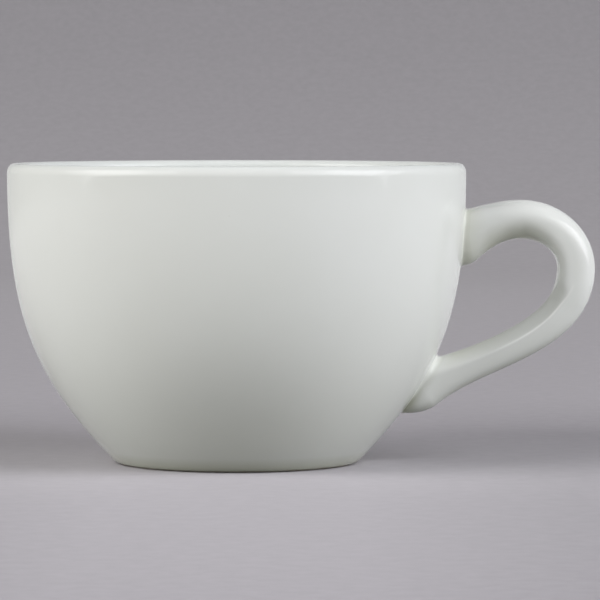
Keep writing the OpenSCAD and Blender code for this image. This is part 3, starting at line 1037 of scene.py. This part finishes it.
class CUP_OT_handle(bpy.types.Operator):
    """Sweep the handle, its slip joints and its glaze coat"""

    bl_idname = "cup.handle"
    bl_label = "Handle"

    def execute(self, context):
        b, h = context.scene.cup_bowl, context.scene.cup_handle
        join_up, join_low = 60, 90
        lines = loop_lines(b, h, 0)
        upper_legs = h.upper_fillet_under, h.upper_fillet_top
        lower_legs = h.lower_fillet_top, h.lower_fillet_under
        upper = root_rows(b, lines, *upper_legs, join_up, fillet_steps=12, run_steps=34)
        lower = root_rows(b, lines[::-1], *lower_legs, join_low, fillet_steps=14, run_steps=40)
        middle = lines[join_up + 1:len(lines) - 1 - join_low, :, :3]
        outer = np.concatenate([upper, middle, lower[::-1]])
        core = loop_lines(b, h, b.glaze_t)
        slip_top = b.slip_t - b.glaze_t
        skin_up = cut_rows(b, core, -b.glaze_t, slip_top, steps=4)
        skin_low = cut_rows(b, core[::-1], -b.glaze_t, slip_top, steps=4)
        half_up = run_rows(b, core, slip_top, join_up, steps=24)
        half_low = run_rows(b, core[::-1], slip_top, join_low, steps=36)
        bar = core[join_up + 2:len(core) - join_low - 2:2, :, :3]
        inner = np.concatenate([half_up, bar, half_low[::-1]])
        shell = np.concatenate([outer, skin_low[:1], inner[::-1], skin_up[:1]])
        glaze = china_glaze("china_glaze", context.scene.cup_finish.glaze)
        coat = grid_mesh("handle_glaze_coat", shell, True, glaze)
        unmarked = np.zeros((len(shell) - len(outer), AROUND))
        # The coat's marks: painted shade with pooled glaze, and a painted highlight along the ridges
        for name, mark in zip(("shade_and_pool", "ridge_highlight"), glaze_marks(len(outer), lines[-1, :, 3])):
            values = np.concatenate([mark, unmarked]).ravel()
            coat.attributes.new(name, "FLOAT", "POINT").data.foreach_set("value", values)
        clay = grid_mesh("handle_clay", inner, False, bare_clay())
        upper_slip = grid_mesh("upper_slip", skin_up, False, fired_slip())
        lower_slip = grid_mesh("lower_slip", skin_low, False, fired_slip())
        piece("handle_glaze_coat", coat, "glaze", "handle_glaze")
        piece("handle_clay", clay, "clay", "handle")
        piece("upper_slip", upper_slip, "slip", "upper_slip_joint")
        piece("lower_slip", lower_slip, "slip", "lower_slip_joint")
        return {"FINISHED"}


class CUP_OT_stage(bpy.types.Operator):
    """Set the paper sweep, the lamps and the camera"""

    bl_idname = "cup.stage"
    bl_label = "Stage"

    def execute(self, context):
        scene = context.scene
        s = scene.cup_stage
        sweep = bpy.data.objects.new("sweep", sweep_mesh())
        scene.collection.objects.link(sweep)
        for face, size, around, above, away, part in LAMP_FACES:
            left_watts, right_watts = part * s.left_lamp, part * s.right_lamp
            softbox("lamp_left_" + face, -around, above, LAMP_ROLL, away, size, left_watts)
            right = softbox("lamp_right_" + face, around, above, -LAMP_ROLL, away, size, right_watts)
            right.data.color = RIGHT_LAMP_TINT
        for side, around in (("left", -BACK_AROUND), ("right", BACK_AROUND)):
            behind = softbox("lamp_back_" + side, around, *BACK_FACE, s.back_lamp)
            behind.visible_glossy = False
        scene.world = room_light(s)
        scene.camera = front_camera()
        scene.view_settings.view_transform = "Standard"
        return {"FINISHED"}


class CUP_PT_panel(bpy.types.Panel):
    """Sizes and finishes of the cup, and a button for each step"""

    bl_idname = "CUP_PT_panel"
    bl_label = "Cappuccino cup"
    bl_space_type = "VIEW_3D"
    bl_region_type = "UI"
    bl_category = "Cup"

    def draw(self, context):
        for step in STEPS:
            self.layout.operator(step.bl_idname, text=step.bl_label)
        for name, _ in GROUPS:
            group = getattr(context.scene, name)
            box = self.layout.box()
            for key in group.__annotations__:
                box.prop(group, key)


STEPS = (CUP_OT_bowl, CUP_OT_coats, CUP_OT_handle, CUP_OT_stage)
GROUPS = (
    ("cup_bowl", CupBowlSizes),
    ("cup_handle", CupHandleSizes),
    ("cup_finish", CupFinish),
    ("cup_stage", CupStage),
)


def register():
    for _, group in GROUPS:
        bpy.utils.register_class(group)
    for kind in (*STEPS, CUP_PT_panel):
        bpy.utils.register_class(kind)
    for name, group in GROUPS:
        setattr(bpy.types.Scene, name, PointerProperty(type=group))


def unregister():
    for name, _ in GROUPS:
        delattr(bpy.types.Scene, name)
    for kind in (CUP_PT_panel, *STEPS):
        bpy.utils.unregister_class(kind)
    for _, group in GROUPS:
        bpy.utils.unregister_class(group)


def main():
    register()
    bpy.ops.cup.bowl()
    bpy.ops.cup.coats()
    bpy.ops.cup.handle()
    bpy.ops.cup.stage()


if __name__ == "__main__":
    main()
